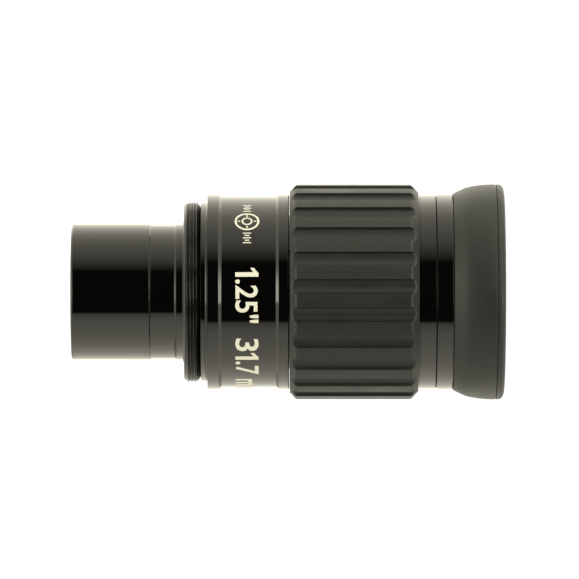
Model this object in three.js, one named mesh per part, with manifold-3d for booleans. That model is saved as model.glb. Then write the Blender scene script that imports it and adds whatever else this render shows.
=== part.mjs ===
// Telescope eyepiece with a 1.25-inch barrel, an M42 camera thread and a
// twist-up rubber eyecup. Millimetres, +Z up along the optical axis, with the
// telescope end of the barrel at z = 0 and the axis through the origin.
//
// Three rigid groups:
//   fixed    nosepiece, collar, housing, inner tube, optics, guide pins
//   grip     the ring the hand turns, with its rubber sleeve
//   eyecup   a slotted sleeve keyed to the grip, with the eyecup on top
// Turning the grip turns the sleeve, and the fixed pins in its helical slots
// lift the eyecup.

import * as THREE from 'three';
import { mergeVertices } from 'three/addons/utils/BufferGeometryUtils.js';
import Module from 'manifold-3d';

const wasm = await Module();
wasm.setup();

// ---------------------------------------------------------------- dimensions
const SIDES = 36;              // facets of the large turned parts
const SIDES_INNER = 24;        // facets of the small turned parts and lenses

// Barrel
const BARREL_R = 15.875;       // 1.25 inch / 2
const UNDERCUT_R = 15.65;      // safety undercut
const UNDERCUT_Z0 = 18.25;
const UNDERCUT_Z1 = 24.1;
const SHOULDER_Z0 = 24.65;
const SHOULDER_R = 15.84;
const COLLAR_FACE_Z = 26.2;     // where the focuser's rim stops
const BARREL_SEAT_Z = 26.9;     // barrel shoulder, seated inside the collar
const FILTER_R = 14.15;        // M28.5 x 0.6 filter thread, drawn plain
const FILTER_DEPTH = 5.5;
const BARREL_BORE = 13.8;
const CELL_STOP_Z = 19.0;

// Threaded collar
const COLLAR_FACE_R = 19.4;
const THREAD_Z0 = 27.0;
const THREAD_Z1 = 30.1;
const THREAD_CREST_R = 21.0;   // M42 x 0.75
const THREAD_ROOT_R = 20.54;
const THREAD_PITCH = 0.75;

// Main housing
const NECK_R = 20.86;
const LIP_R = 22.75;
const BAND_R = 22.3;
const LIP1_Z0 = 31.6;
const LIP1_Z1 = 34.2;
const BAND_Z0 = 34.9;
const BAND_Z1 = 47.45;
const LIP2_Z0 = 48.1;
const HOUSING_TOP = 50.3;
const SPIGOT_R = 18.2;
const SPIGOT_TOP = 55.0;
const HOUSING_BORE = 16.2;

// Fixed inner tube
const TUBE_R = 17.6;
const TUBE_LOWER_R = 16.0;
const TUBE_Z0 = 40.0;
const TUBE_TOP = 92.5;
const GROUP_BORE = 15.2;
const GROUP_SEAT_Z = 69.3;
const WAIST_BORE = 12.9;
const EYE_BORE = 13.7;
const EYE_SEAT_Z = 80.5;

// Grip
const GRIP_Z0 = 50.6;
const GRIP_FLANGE_R = 18.45;
const GRIP_FLANGE_Z1 = 52.3;
const GRIP_BORE = 19.5;
const GRIP_TUBE_R = 22.2;
const GRIP_BAND_R = 22.65;
const GRIP_BAND_Z0 = 80.75;
const GRIP_TOP = 84.55;
const RUBBER_Z0 = 50.85;
const RUBBER_Z1 = 80.62;
const RUBBER_END_R = 23.35;
const FLUTES = 24;
const LAND_R = 24.9;
const FLOOR_R = 23.95;
const LAND_HALF_DEG = 3.25;
const FLOOR_HALF_DEG = 1.6;
const LAND_PHASE_DEG = 5.0;

// Eyecup
const SLEEVE_RI = 17.9;
const SLEEVE_RO = 19.2;
const SLEEVE_Z0 = 55.5;
const SLEEVE_Z1 = 90.2;
const CUP_BAND_Z0 = 84.8;
const CUP_BAND_Z1 = 88.25;
const CUP_BAND_R = 22.8;
const CUP_COLLAR_R = 21.5;
const CUP_COLLAR_TOP = 94.0;
const CUP_TOP = 100.4;

// Lifting mechanism
const TWIST_DEG = 120;         // full turn of the grip
const RISE = 9.0;              // rise of the eyecup over that turn
const PIN_Z = 71.0;
const PIN_R = 1.2;
const SLOT_HALF = 1.5;         // half width of a slot, square to its path
const PIN_ANGLES = [30, 150, 270];
const KEY_ANGLES = [90, 210, 330];
const KEY_R = 20.2;
const KEY_WIDTH = 5.0;
const KEY_Z0 = 55.6;
const KEY_Z1 = 60.0;
const KEYWAY_R = 20.6;
const KEYWAY_WIDTH = 5.7;
const SEAL_SEAT_Z = 83.2;
const SEAL_SEAT_R = 20.9;

// ------------------------------------------------------------------- finishes
const finish = (color, roughness, metalness) =>
  new THREE.MeshStandardMaterial({ color, roughness, metalness });
const blackChrome = () => finish(0x0b0b0a, 0.08, 0.6);
const glossBlack = () => finish(0x090908, 0.1, 0.3);
const threadBlack = () => finish(0x1a1a18, 0.5, 0.5);
const innerBlack = () => finish(0x141413, 0.7, 0.3);
const gripRubber = () => finish(0x3b3c35, 0.75, 0.0);
const cupRubber = () => finish(0x34342f, 0.8, 0.0);
const glass = () => finish(0x9db7a8, 0.02, 0.0);
const steel = () => finish(0x8c8c8a, 0.35, 1.0);
const bronze = () => finish(0x7d6334, 0.4, 0.9);
const felt = () => finish(0x15151a, 0.95, 0.0);

// -------------------------------------------------------------------- helpers
const rad = (deg) => (deg * Math.PI) / 180;

// Keeps positions only, welds them, drops triangles of no area, and turns the
// faces outwards.
function weld(geometry) {
  const g = geometry.clone();
  g.deleteAttribute('normal');
  g.deleteAttribute('uv');
  const m = mergeVertices(g, 1e-4);
  const p = m.getAttribute('position');
  const src = m.getIndex().array;
  const tris = [];
  let volume = 0;
  for (let i = 0; i < src.length; i += 3) {
    const [a, b, c] = [src[i], src[i + 1], src[i + 2]];
    if (a === b || b === c || a === c) continue;
    tris.push(a, b, c);
    const A = new THREE.Vector3().fromBufferAttribute(p, a);
    const B = new THREE.Vector3().fromBufferAttribute(p, b);
    const C = new THREE.Vector3().fromBufferAttribute(p, c);
    volume += A.dot(B.cross(C)) / 6;
  }
  if (volume < 0) {
    for (let i = 0; i < tris.length; i += 3) {
      [tris[i + 1], tris[i + 2]] = [tris[i + 2], tris[i + 1]];
    }
  }
  const out = new THREE.BufferGeometry();
  out.setAttribute('position', new THREE.Float32BufferAttribute(Array.from(p.array), 3));
  out.setIndex(tris);
  return out;
}

// Turned part: [radius, z] points around its section, revolved about +Z.
function turned(section, sides = SIDES) {
  const pts = section.map(([r, z]) => new THREE.Vector2(r, z));
  const first = section[0];
  const last = section[section.length - 1];
  if (!(first[0] === 0 && last[0] === 0)) pts.push(pts[0].clone());
  return weld(new THREE.LatheGeometry(pts, sides).rotateX(Math.PI / 2));
}

function toSolid(geometry) {
  const g = weld(geometry);
  return new wasm.Manifold(new wasm.Mesh({
    numProp: 3,
    vertProperties: new Float32Array(g.getAttribute('position').array),
    triVerts: new Uint32Array(g.getIndex().array),
  }));
}

function fromSolid(solid) {
  const mesh = solid.getMesh();
  const g = new THREE.BufferGeometry();
  g.setAttribute('position', new THREE.Float32BufferAttribute(Array.from(mesh.vertProperties), 3));
  g.setIndex(Array.from(mesh.triVerts));
  return g;
}

function cut(geometry, cutters) {
  let solid = toSolid(geometry);
  for (const c of cutters) solid = solid.subtract(toSolid(c));
  return fromSolid(solid);
}

// A round bar along the radius at an angle, from radius r0 to r1.
function radialBar(angle, z, radius, r0, r1, sides = 12) {
  return new THREE.CylinderGeometry(radius, radius, r1 - r0, sides)
    .rotateZ(-Math.PI / 2)
    .translate((r0 + r1) / 2, 0, 0)
    .rotateZ(rad(angle))
    .translate(0, 0, z);
}

// A block whose long side lies along Z, standing on the radius at an angle.
function radialBlock(angle, r0, r1, width, z0, z1) {
  return new THREE.BoxGeometry(r1 - r0, width, z1 - z0)
    .translate((r0 + r1) / 2, 0, (z0 + z1) / 2)
    .rotateZ(rad(angle));
}

// Depth of a spherical surface of radius R at distance r from its axis.
const sag = (R, r) => R - Math.sqrt(R * R - r * r);

// A lens of edge radius r. Each surface is [apex z, radius, shape], where
// shape is 1 for convex (bulging out) and -1 for concave.
function lens(r, lower, upper, sides = SIDES_INNER) {
  const steps = [0, 0.4, 0.75, 1];
  const low = steps.map((t) => [r * t, lower[0] + lower[2] * sag(lower[1], r * t)]);
  const up = steps.map((t) => [r * t, upper[0] - upper[2] * sag(upper[1], r * t)]);
  return turned([...low, ...up.reverse()], sides);
}

const model = new THREE.Group();
model.name = 'eyepiece';

function add(parent, name, geometry, material) {
  const g = weld(geometry);
  g.computeVertexNormals();
  const mesh = new THREE.Mesh(g, material);
  mesh.name = name;
  parent.add(mesh);
  return mesh;
}

// ----------------------------------------------------------------- fixed group
const fixed = new THREE.Group();
fixed.name = 'housing_group';
model.add(fixed);

// Push-fit barrel with its filter-thread mouth and the seat of the lower cell.
add(fixed, 'nosepiece', turned([
  [BARREL_R - 0.4, 0],
  [BARREL_R, 0.4],
  [BARREL_R, UNDERCUT_Z0],
  [UNDERCUT_R, UNDERCUT_Z0],
  [UNDERCUT_R, UNDERCUT_Z1],
  [SHOULDER_R, SHOULDER_Z0],
  [SHOULDER_R, BARREL_SEAT_Z],
  [14.9, BARREL_SEAT_Z],
  [14.9, 31.4],
  [13.0, 31.4],
  [13.0, CELL_STOP_Z],
  [BARREL_BORE, CELL_STOP_Z],
  [BARREL_BORE, FILTER_DEPTH],
  [FILTER_R, FILTER_DEPTH],
  [FILTER_R, 0.35],
  [FILTER_R + 0.35, 0],
]), blackChrome());

add(fixed, 'lower_lens_cell', turned([
  [12.2, 6.3],
  [13.65, 6.3],
  [13.65, 18.9],
  [11.4, 18.9],
  [10.8, 15.9],
  [12.2, 15.9],
], SIDES_INNER), innerBlack());

add(fixed, 'field_lens_front', lens(12.0, [9.8, 60, -1], [10.9, 30, -1]), glass());
add(fixed, 'field_lens_rear', lens(12.0, [10.96, 30, 1], [16.5, 70, 1]), glass());

add(fixed, 'lower_retaining_ring', turned([
  [10.9, 7.1],
  [11.5, 6.6],
  [12.08, 6.6],
  [12.08, 8.5],
  [10.9, 8.5],
], SIDES_INNER), innerBlack());

// Collar with the male camera thread, drawn as rings at the thread's pitch.
{
  const section = [
    [15.0, BARREL_SEAT_Z],
    [15.95, BARREL_SEAT_Z],
    [15.95, COLLAR_FACE_Z],
    [COLLAR_FACE_R, COLLAR_FACE_Z],
    [THREAD_ROOT_R, THREAD_Z0 - 0.2],
  ];
  for (let z = THREAD_Z0 + 0.2; z < THREAD_Z1 - 0.3; z += THREAD_PITCH) {
    section.push([THREAD_CREST_R, z]);
    section.push([THREAD_ROOT_R, z + THREAD_PITCH / 2]);
  }
  section.push([THREAD_ROOT_R, THREAD_Z1], [17.5, THREAD_Z1], [17.5, 34.0], [15.0, 34.0]);
  add(fixed, 'thread_collar', turned(section), threadBlack());
}

// Housing: neck, two lips with the flat band between them, and the spigot that
// the grip turns on. Three small holes in the spigot take the grub screws.
const SCREW_Z = 51.45;
const SCREW_ANGLES = [0, 120, 240];
add(fixed, 'main_housing', cut(turned([
  [17.6, THREAD_Z1],
  [NECK_R, THREAD_Z1],
  [NECK_R, LIP1_Z0],
  [LIP_R - 0.15, LIP1_Z0],
  [LIP_R, LIP1_Z0 + 0.15],
  [LIP_R, LIP1_Z1],
  [BAND_R, BAND_Z0],
  [BAND_R, BAND_Z1],
  [LIP_R, LIP2_Z0],
  [LIP_R, HOUSING_TOP - 0.2],
  [LIP_R - 0.2, HOUSING_TOP],
  [SPIGOT_R, HOUSING_TOP],
  [SPIGOT_R, SPIGOT_TOP],
  [HOUSING_BORE, SPIGOT_TOP],
  [HOUSING_BORE, 34.6],
  [17.6, 34.6],
]), SCREW_ANGLES.map((a) => radialBar(a, SCREW_Z, 1.25, 15.5, 19.0))), glossBlack());

SCREW_ANGLES.forEach((a, i) => {
  const body = radialBar(a, SCREW_Z, 0.95, 16.1, 18.1);
  const socket = radialBar(a, SCREW_Z, 0.5, 17.2, 19.0, 6);
  add(fixed, `housing_grub_screw_${i + 1}`, cut(body, [socket]), steel());
});

add(fixed, 'baffle_ring', turned([
  [15.0, 35.0],
  [16.1, 35.0],
  [16.1, 38.0],
  [15.0, 38.0],
  [15.0, 36.9],
  [8.0, 36.9],
  [8.0, 36.4],
  [15.0, 35.8],
], SIDES_INNER), innerBlack());

add(fixed, 'slip_washer', turned([
  [18.35, HOUSING_TOP],
  [22.5, HOUSING_TOP],
  [22.5, HOUSING_TOP + 0.2],
  [18.35, HOUSING_TOP + 0.2],
]), bronze());

add(fixed, 'lock_ring', turned([
  [18.3, 52.45],
  [19.3, 52.45],
  [19.3, 54.4],
  [19.1, 54.6],
  [18.3, 54.6],
]), innerBlack());

// Fixed inner tube with three blind holes for the guide pins.
add(fixed, 'inner_tube', cut(turned([
  [GROUP_BORE, TUBE_Z0],
  [TUBE_LOWER_R, TUBE_Z0],
  [TUBE_LOWER_R, SPIGOT_TOP],
  [TUBE_R, SPIGOT_TOP],
  [TUBE_R, TUBE_TOP - 0.4],
  [TUBE_R - 0.4, TUBE_TOP],
  [EYE_BORE + 0.2, TUBE_TOP],
  [EYE_BORE, TUBE_TOP - 0.2],
  [EYE_BORE, EYE_SEAT_Z],
  [WAIST_BORE, EYE_SEAT_Z],
  [WAIST_BORE, GROUP_SEAT_Z],
  [GROUP_BORE, GROUP_SEAT_Z],
]), PIN_ANGLES.map((a) => radialBar(a, PIN_Z, PIN_R + 0.25, 14.1, 19.0))), innerBlack());

PIN_ANGLES.forEach((a, i) => {
  add(fixed, `guide_pin_${i + 1}`, radialBar(a, PIN_Z, PIN_R, 14.3, 19.1), steel());
});

add(fixed, 'field_stop', turned([
  [13.5, 45.0],
  [15.1, 45.0],
  [15.1, 47.0],
  [6.5, 47.0],
  [5.2, 46.5],
  [6.5, 46.0],
  [13.5, 46.0],
], SIDES_INNER), innerBlack());

add(fixed, 'group_retaining_ring', turned([
  [13.6, 53.0],
  [15.1, 53.0],
  [15.1, 55.1],
  [13.6, 55.1],
], SIDES_INNER), innerBlack());

add(fixed, 'meniscus_lens', lens(15.0, [57.8, 45, -1], [62.0, 32, 1]), glass());

add(fixed, 'lens_spacer', turned([
  [13.9, 59.1],
  [15.1, 58.5],
  [15.1, 63.1],
  [13.9, 62.9],
], SIDES_INNER), innerBlack());

add(fixed, 'doublet_lens_lower', lens(15.0, [62.3, 120, 1], [63.6, 28, -1]), glass());
add(fixed, 'doublet_lens_upper', lens(15.0, [63.66, 28, 1], [70.6, 60, 1]), glass());
add(fixed, 'eye_lens_inner', lens(13.5, [81.7, 90, -1], [83.0, 26, -1]), glass());
add(fixed, 'eye_lens_outer', lens(13.5, [83.06, 26, 1], [91.1, 60, 1]), glass());

add(fixed, 'eye_retaining_ring', turned([
  [12.3, 90.0],
  [13.55, 90.0],
  [13.55, 92.3],
  [13.1, 92.3],
  [12.3, 91.0],
]), innerBlack());

// ------------------------------------------------------------------ grip group
const grip = new THREE.Group();
grip.name = 'grip_group';
model.add(grip);

// Ring with an inward flange under the lock ring, three keyways that drive the
// sleeve, a seat for the seal, and one hole for fitting the guide pins.
add(grip, 'grip_ring', cut(turned([
  [GRIP_FLANGE_R, GRIP_Z0],
  [22.5, GRIP_Z0],
  [22.5, GRIP_Z0 + 0.2],
  [GRIP_TUBE_R, GRIP_Z0 + 0.2],
  [GRIP_TUBE_R, GRIP_BAND_Z0],
  [GRIP_BAND_R - 0.15, GRIP_BAND_Z0],
  [GRIP_BAND_R, GRIP_BAND_Z0 + 0.15],
  [GRIP_BAND_R, GRIP_TOP - 0.15],
  [GRIP_BAND_R - 0.15, GRIP_TOP],
  [SEAL_SEAT_R, GRIP_TOP],
  [SEAL_SEAT_R, SEAL_SEAT_Z],
  [GRIP_BORE, SEAL_SEAT_Z],
  [GRIP_BORE, GRIP_FLANGE_Z1],
  [GRIP_FLANGE_R, GRIP_FLANGE_Z1],
]), [
  ...KEY_ANGLES.map((a) => radialBlock(a, 18.8, KEYWAY_R, KEYWAY_WIDTH, 55.2, SEAL_SEAT_Z + 0.5)),
  radialBar(PIN_ANGLES[0], PIN_Z, 1.7, 18.8, 23.0),
]), glossBlack());

// Seal with a thin lip over the top of the ring.
add(grip, 'dust_seal', turned([
  [19.45, SEAL_SEAT_Z + 0.05],
  [SEAL_SEAT_R - 0.1, SEAL_SEAT_Z + 0.05],
  [SEAL_SEAT_R - 0.1, GRIP_TOP + 0.03],
  [22.3, GRIP_TOP + 0.03],
  [22.3, GRIP_TOP + 0.18],
  [19.45, GRIP_TOP + 0.18],
]), felt());

// Rubber sleeve with flutes that run out through the chamfers at its ends.
{
  const outline = [
    [22.3, RUBBER_Z0],
    [RUBBER_END_R, RUBBER_Z0],
    [FLOOR_R, RUBBER_Z0 + 0.55],
    [LAND_R, RUBBER_Z0 + 1.35],
    [LAND_R, RUBBER_Z1 - 1.6],
    [FLOOR_R, RUBBER_Z1 - 0.75],
    [RUBBER_END_R, RUBBER_Z1],
    [22.3, RUBBER_Z1],
    [22.3, RUBBER_Z0],
  ].map(([r, z]) => new THREE.Vector2(r, z));
  const steps = 4 * FLUTES;
  const g = new THREE.LatheGeometry(outline, steps).rotateX(Math.PI / 2);
  const p = g.getAttribute('position');
  const pitch = 360 / FLUTES;
  const stops = [-LAND_HALF_DEG, LAND_HALF_DEG, pitch / 2 - FLOOR_HALF_DEG, pitch / 2 + FLOOR_HALF_DEG];
  for (let i = 0; i < p.count; i += 1) {
    const column = Math.floor(i / outline.length) % steps;
    const place = column % 4;
    const angle = rad(LAND_PHASE_DEG + pitch * Math.floor(column / 4) + stops[place]);
    const r0 = Math.hypot(p.getX(i), p.getY(i));
    const r = place > 1 ? Math.min(r0, FLOOR_R) : r0;
    p.setXY(i, r * Math.cos(angle), r * Math.sin(angle));
  }
  add(grip, 'rubber_grip', g, gripRubber());
}

// ---------------------------------------------------------------- eyecup group
const eyecup = new THREE.Group();
eyecup.name = 'eyecup_group';
model.add(eyecup);

// Sleeve: three keys near its foot, and a helical slot for each pin. With the
// eyecup down a pin sits at the top end of its slot; turning the sleeve by
// +TWIST_DEG brings the pin to the bottom end.
{
  const slope = RISE / TWIST_DEG;
  const lead = Math.atan(RISE / (rad(TWIST_DEG) * SLEEVE_RO));
  const halfZ = SLOT_HALF / Math.cos(lead);
  const wall = [SLEEVE_RI - 0.6, SLEEVE_RO + 0.6];
  let solid = toSolid(turned([
    [SLEEVE_RI, SLEEVE_Z0],
    [SLEEVE_RO, SLEEVE_Z0],
    [SLEEVE_RO, SLEEVE_Z1],
    [SLEEVE_RI, SLEEVE_Z1],
  ]));
  for (const a of KEY_ANGLES) {
    solid = solid.add(toSolid(radialBlock(a, 18.5, KEY_R, KEY_WIDTH, KEY_Z0, KEY_Z1)));
  }
  for (const a of PIN_ANGLES) {
    // A straight block, wound onto the helix of the slot.
    const path = new THREE.BoxGeometry(TWIST_DEG, wall[1] - wall[0], 2 * halfZ, 16, 1, 1);
    const p = path.getAttribute('position');
    for (let i = 0; i < p.count; i += 1) {
      const turn = p.getX(i) - TWIST_DEG / 2;       // 0 at the top end, -TWIST at the bottom
      const r = (wall[0] + wall[1]) / 2 + p.getY(i);
      const z = PIN_Z + slope * turn + p.getZ(i);
      p.setXYZ(i, r * Math.cos(rad(a + turn)), r * Math.sin(rad(a + turn)), z);
    }
    solid = solid.subtract(toSolid(path));
    solid = solid.subtract(toSolid(radialBar(a, PIN_Z, SLOT_HALF, wall[0], wall[1])));
    solid = solid.subtract(toSolid(radialBar(a - TWIST_DEG, PIN_Z - RISE, SLOT_HALF, wall[0], wall[1])));
  }
  add(eyecup, 'eyecup_sleeve', fromSolid(solid), innerBlack());
}

add(eyecup, 'eyecup_ring', turned([
  [19.3, CUP_BAND_Z0],
  [CUP_BAND_R - 0.15, CUP_BAND_Z0],
  [CUP_BAND_R, CUP_BAND_Z0 + 0.15],
  [CUP_BAND_R, CUP_BAND_Z1],
  [CUP_COLLAR_R, CUP_BAND_Z1],
  [CUP_COLLAR_R, CUP_COLLAR_TOP],
  [18.6, CUP_COLLAR_TOP],
  [17.95, 92.4],
  [17.95, 90.3],
  [19.3, 90.3],
]), glossBlack());

add(eyecup, 'rubber_eyecup', turned([
  [21.6, CUP_BAND_Z1 + 0.1],
  [22.62, CUP_BAND_Z1 + 0.1],
  [23.15, 89.35],
  [23.95, 91.1],
  [24.6, 93.0],
  [24.95, 96.0],
  [25.04, 98.4],
  [24.65, 99.75],
  [23.6, CUP_TOP],
  [22.2, CUP_TOP],
  [21.3, 100.0],
  [20.7, 99.0],
  [19.6, 96.6],
  [18.75, 95.3],
  [18.75, CUP_COLLAR_TOP + 0.1],
  [21.6, CUP_COLLAR_TOP + 0.1],
]), cupRubber());

export default model;
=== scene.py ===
import math

import bmesh
import bpy
import numpy as np
from mathutils import Matrix


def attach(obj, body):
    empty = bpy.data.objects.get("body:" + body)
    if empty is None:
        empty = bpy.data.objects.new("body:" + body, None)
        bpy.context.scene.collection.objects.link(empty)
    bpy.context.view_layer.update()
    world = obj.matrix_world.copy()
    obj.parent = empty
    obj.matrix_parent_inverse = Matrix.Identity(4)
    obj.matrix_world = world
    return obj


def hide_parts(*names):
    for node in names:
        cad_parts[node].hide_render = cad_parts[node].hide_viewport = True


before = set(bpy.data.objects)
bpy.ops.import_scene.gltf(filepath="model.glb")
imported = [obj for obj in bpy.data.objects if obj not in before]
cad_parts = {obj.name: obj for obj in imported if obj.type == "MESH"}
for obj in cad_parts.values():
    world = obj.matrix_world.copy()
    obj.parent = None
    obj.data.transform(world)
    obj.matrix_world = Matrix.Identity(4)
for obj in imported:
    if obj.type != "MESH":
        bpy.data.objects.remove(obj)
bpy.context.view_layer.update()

MM = 0.001
TAU = 2 * math.pi
rad = math.radians

# --------------------------------------------------------------- dimensions, mm
# The same numbers as the CAD nodes that these pieces stand for.
BARREL_R, UNDERCUT_R, SHOULDER_R = 15.875, 15.65, 15.84
NECK_R, LIP_R, BAND_R = 20.86, 22.75, 22.3
BAND_Z0, BAND_Z1 = 34.9, 47.45
GRIP_BAND_R, CUP_BAND_R = 22.65, 22.8
FLUTES, LAND_R, FLOOR_R = 24, 24.9, 23.9
RUBBER_Z0, RUBBER_Z1 = 50.85, 80.50
TWIST, RISE = 120.0, 9.0
PIN_Z, PIN_R, SLOT_HALF = 71.0, 1.2, 1.5
PIN_ANGLES, KEY_ANGLES, SCREW_ANGLES = (30, 150, 270), (90, 210, 330), (0, 120, 240)


# ================================================================ mesh helpers
def rounded(points, default=0.05, pad=0.03, closed=True, step=13.0):
    """Section points (r, z) or (r, z, fillet radius) with every corner rounded,
    and a support point just beside each arc."""
    out = []
    m = len(points)
    for i, pt in enumerate(points):
        v = np.array(pt[:2], float)
        radius = pt[2] if len(pt) > 2 else default
        if radius <= 0 or (not closed and i in (0, m - 1)):
            out.append((v[0], v[1]))
            continue
        a = np.array(points[i - 1][:2], float) - v
        b = np.array(points[(i + 1) % m][:2], float) - v
        la, lb = np.linalg.norm(a), np.linalg.norm(b)
        a, b = a / la, b / lb
        theta = math.acos(max(-1.0, min(1.0, float(a @ b))))
        if math.pi - theta < rad(2.0):
            out.append((v[0], v[1]))
            continue
        t = radius / math.tan(theta / 2)
        limit = 0.46 * min(la, lb)
        if t > limit:
            t = limit
            radius = t * math.tan(theta / 2)
        c = v + (a + b) / np.linalg.norm(a + b) * radius / math.sin(theta / 2)
        s, e = v + a * t, v + b * t
        a0 = math.atan2(s[1] - c[1], s[0] - c[0])
        a1 = math.atan2(e[1] - c[1], e[0] - c[0])
        d = (a1 - a0 + math.pi) % TAU - math.pi
        n = max(2, math.ceil(abs(d) / rad(step)))
        if t + pad < 0.5 * la:
            p = v + a * (t + pad)
            out.append((p[0], p[1]))
        for k in range(n + 1):
            g = a0 + d * k / n
            out.append((c[0] + radius * math.cos(g), c[1] + radius * math.sin(g)))
        if t + pad < 0.5 * lb:
            p = v + b * (t + pad)
            out.append((p[0], p[1]))
    return out


def make(name, verts, faces, sharp=38.0):
    """A closed, outward-facing, smooth-shaded mesh from points in millimetres."""
    v = np.asarray(verts, float)
    volume = 0.0
    for f in faces:
        for k in range(1, len(f) - 1):
            volume += float(np.dot(v[f[0]], np.cross(v[f[k]], v[f[k + 1]])))
    if volume < 0:
        faces = [tuple(reversed(f)) for f in faces]
    me = bpy.data.meshes.new(name)
    me.from_pydata((v * MM).tolist(), [], faces)
    me.update()
    me.polygons.foreach_set("use_smooth", [True] * len(me.polygons))
    if sharp is not None:
        me.set_sharp_from_angle(angle=rad(sharp))
    ob = bpy.data.objects.new(name, me)
    bpy.context.scene.collection.objects.link(ob)
    return ob


def lathe(name, section, seg=192, closed=True, warp=None, sharp=38.0):
    """Revolves a section about +Z. A closed section goes round a ring, an open
    one starts and ends on the axis. warp(phi, r, z) moves the points of a row."""
    phi = np.arange(seg) * TAU / seg
    verts, rings = [], []
    for r, z in section:
        if r < 1e-6:
            rings.append([len(verts)])
            verts.append((0.0, 0.0, z))
            continue
        rr, zz = np.full(seg, float(r)), np.full(seg, float(z))
        if warp is not None:
            rr, zz = warp(phi, rr, zz)
        start = len(verts)
        verts.extend(zip(rr * np.cos(phi), rr * np.sin(phi), zz))
        rings.append(list(range(start, start + seg)))
    faces = []
    n = len(rings)
    for i in range(n if closed else n - 1):
        a, b = rings[i], rings[(i + 1) % n]
        if len(a) == 1 and len(b) == 1:
            continue
        for k in range(seg):
            j = (k + 1) % seg
            if len(a) == 1:
                faces.append((a[0], b[k], b[j]))
            elif len(b) == 1:
                faces.append((a[k], b[0], a[j]))
            else:
                faces.append((a[k], b[k], b[j], a[j]))
    return make(name, verts, faces, sharp)


def sag(R, r):
    return R - math.sqrt(R * R - r * r)


def lens(name, r, lower, upper, seg=128, steps=20):
    """A lens with two spherical faces and a small bevel at its edge."""
    def face(spec, sign):
        apex, R, shape = spec
        return [(r * t, apex + sign * shape * sag(R, r * t)) for t in np.linspace(0, 1, steps)]
    low, up = face(lower, 1), face(upper, -1)
    bevel = 0.12
    low[-1] = (r - bevel, low[-1][1])
    up[-1] = (r - bevel, up[-1][1])
    edge = [(r, low[-1][1] + bevel), (r, up[-1][1] - bevel)]
    return lathe(name, low + edge + up[::-1], seg, closed=False, sharp=30.0)


def bar(angle, z, radius, r0, r1, seg=48, chamfer=0.0, dome=0.0):
    """(verts, faces) of a round bar along the radius at an angle."""
    rows = [(0.0, r0), (radius, r0)]
    if chamfer > 0:
        rows = [(0.0, r0), (radius - chamfer, r0), (radius, r0 + chamfer)]
        rows += [(radius, r1 - chamfer), (radius - chamfer, r1)]
    else:
        rows += [(radius, r1)]
    if dome > 0:
        rows += [(radius * 0.5, r1 + dome * 0.8)]
    rows += [(0.0, r1 + dome)]
    ca, sa = math.cos(rad(angle)), math.sin(rad(angle))
    verts, rings = [], []
    for q, x in rows:
        if q < 1e-9:
            rings.append([len(verts)])
            verts.append((x * ca, x * sa, z))
            continue
        start = len(verts)
        for k in range(seg):
            u, w = q * math.cos(TAU * k / seg), q * math.sin(TAU * k / seg)
            verts.append((x * ca - u * sa, x * sa + u * ca, z + w))
        rings.append(list(range(start, start + seg)))
    faces = []
    for a, b in zip(rings, rings[1:]):
        for k in range(seg):
            j = (k + 1) % seg
            if len(a) == 1:
                faces.append((a[0], b[j], b[k]))
            elif len(b) == 1:
                faces.append((a[k], a[j], b[0]))
            else:
                faces.append((a[k], a[j], b[j], b[k]))
    return verts, faces


def block(angle, r0, r1, width, z0, z1):
    ca, sa = math.cos(rad(angle)), math.sin(rad(angle))
    verts = [(x * ca - u * sa, x * sa + u * ca, z)
             for z in (z0, z1) for x in (r0, r1) for u in (-width / 2, width / 2)]
    faces = [(0, 1, 3, 2), (4, 6, 7, 5), (0, 4, 5, 1), (1, 5, 7, 3), (3, 7, 6, 2), (2, 6, 4, 0)]
    return verts, faces


def boolean(target, kind, tools):
    """Applies booleans to target and removes the tools."""
    for tool in tools:
        mod = target.modifiers.new("b", "BOOLEAN")
        mod.operation = kind
        mod.solver = "EXACT"
        mod.object = tool
        bpy.context.view_layer.update()
        dg = bpy.context.evaluated_depsgraph_get()
        new = bpy.data.meshes.new_from_object(target.evaluated_get(dg))
        target.modifiers.clear()
        target.data = new
        bpy.data.objects.remove(tool)
    bm = bmesh.new()
    bm.from_mesh(target.data)
    bmesh.ops.remove_doubles(bm, verts=bm.verts, dist=2e-7)
    bmesh.ops.dissolve_degenerate(bm, edges=bm.edges, dist=1e-7)
    bm.to_mesh(target.data)
    bm.free()
    target.data.polygons.foreach_set("use_smooth", [True] * len(target.data.polygons))
    target.data.set_sharp_from_angle(angle=rad(32))
    return target


# ==================================================================== materials
def new_material(name):
    m = bpy.data.materials.new(name)
    m.use_nodes = True
    nt = m.node_tree
    bsdf = next(n for n in nt.nodes if n.type == "BSDF_PRINCIPLED")
    return m, nt, bsdf


def coords(nt, scale):
    """Object coordinates, with a scale per axis; a unit is a metre times scale."""
    tc = nt.nodes.new("ShaderNodeTexCoord")
    mp = nt.nodes.new("ShaderNodeMapping")
    mp.inputs["Scale"].default_value = scale
    nt.links.new(tc.outputs["Object"], mp.inputs["Vector"])
    return mp.outputs["Vector"]


def noise(nt, vector, scale=1.0, detail=3.0, roughness=0.55):
    n = nt.nodes.new("ShaderNodeTexNoise")
    n.inputs["Scale"].default_value = scale
    n.inputs["Detail"].default_value = detail
    n.inputs["Roughness"].default_value = roughness
    nt.links.new(vector, n.inputs["Vector"])
    return n.outputs["Fac"]


def spread(nt, value, lo, hi, a=0.3, b=0.7):
    n = nt.nodes.new("ShaderNodeMapRange")
    n.inputs["From Min"].default_value = a
    n.inputs["From Max"].default_value = b
    n.inputs["To Min"].default_value = lo
    n.inputs["To Max"].default_value = hi
    nt.links.new(value, n.inputs["Value"])
    return n.outputs["Result"]


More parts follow.
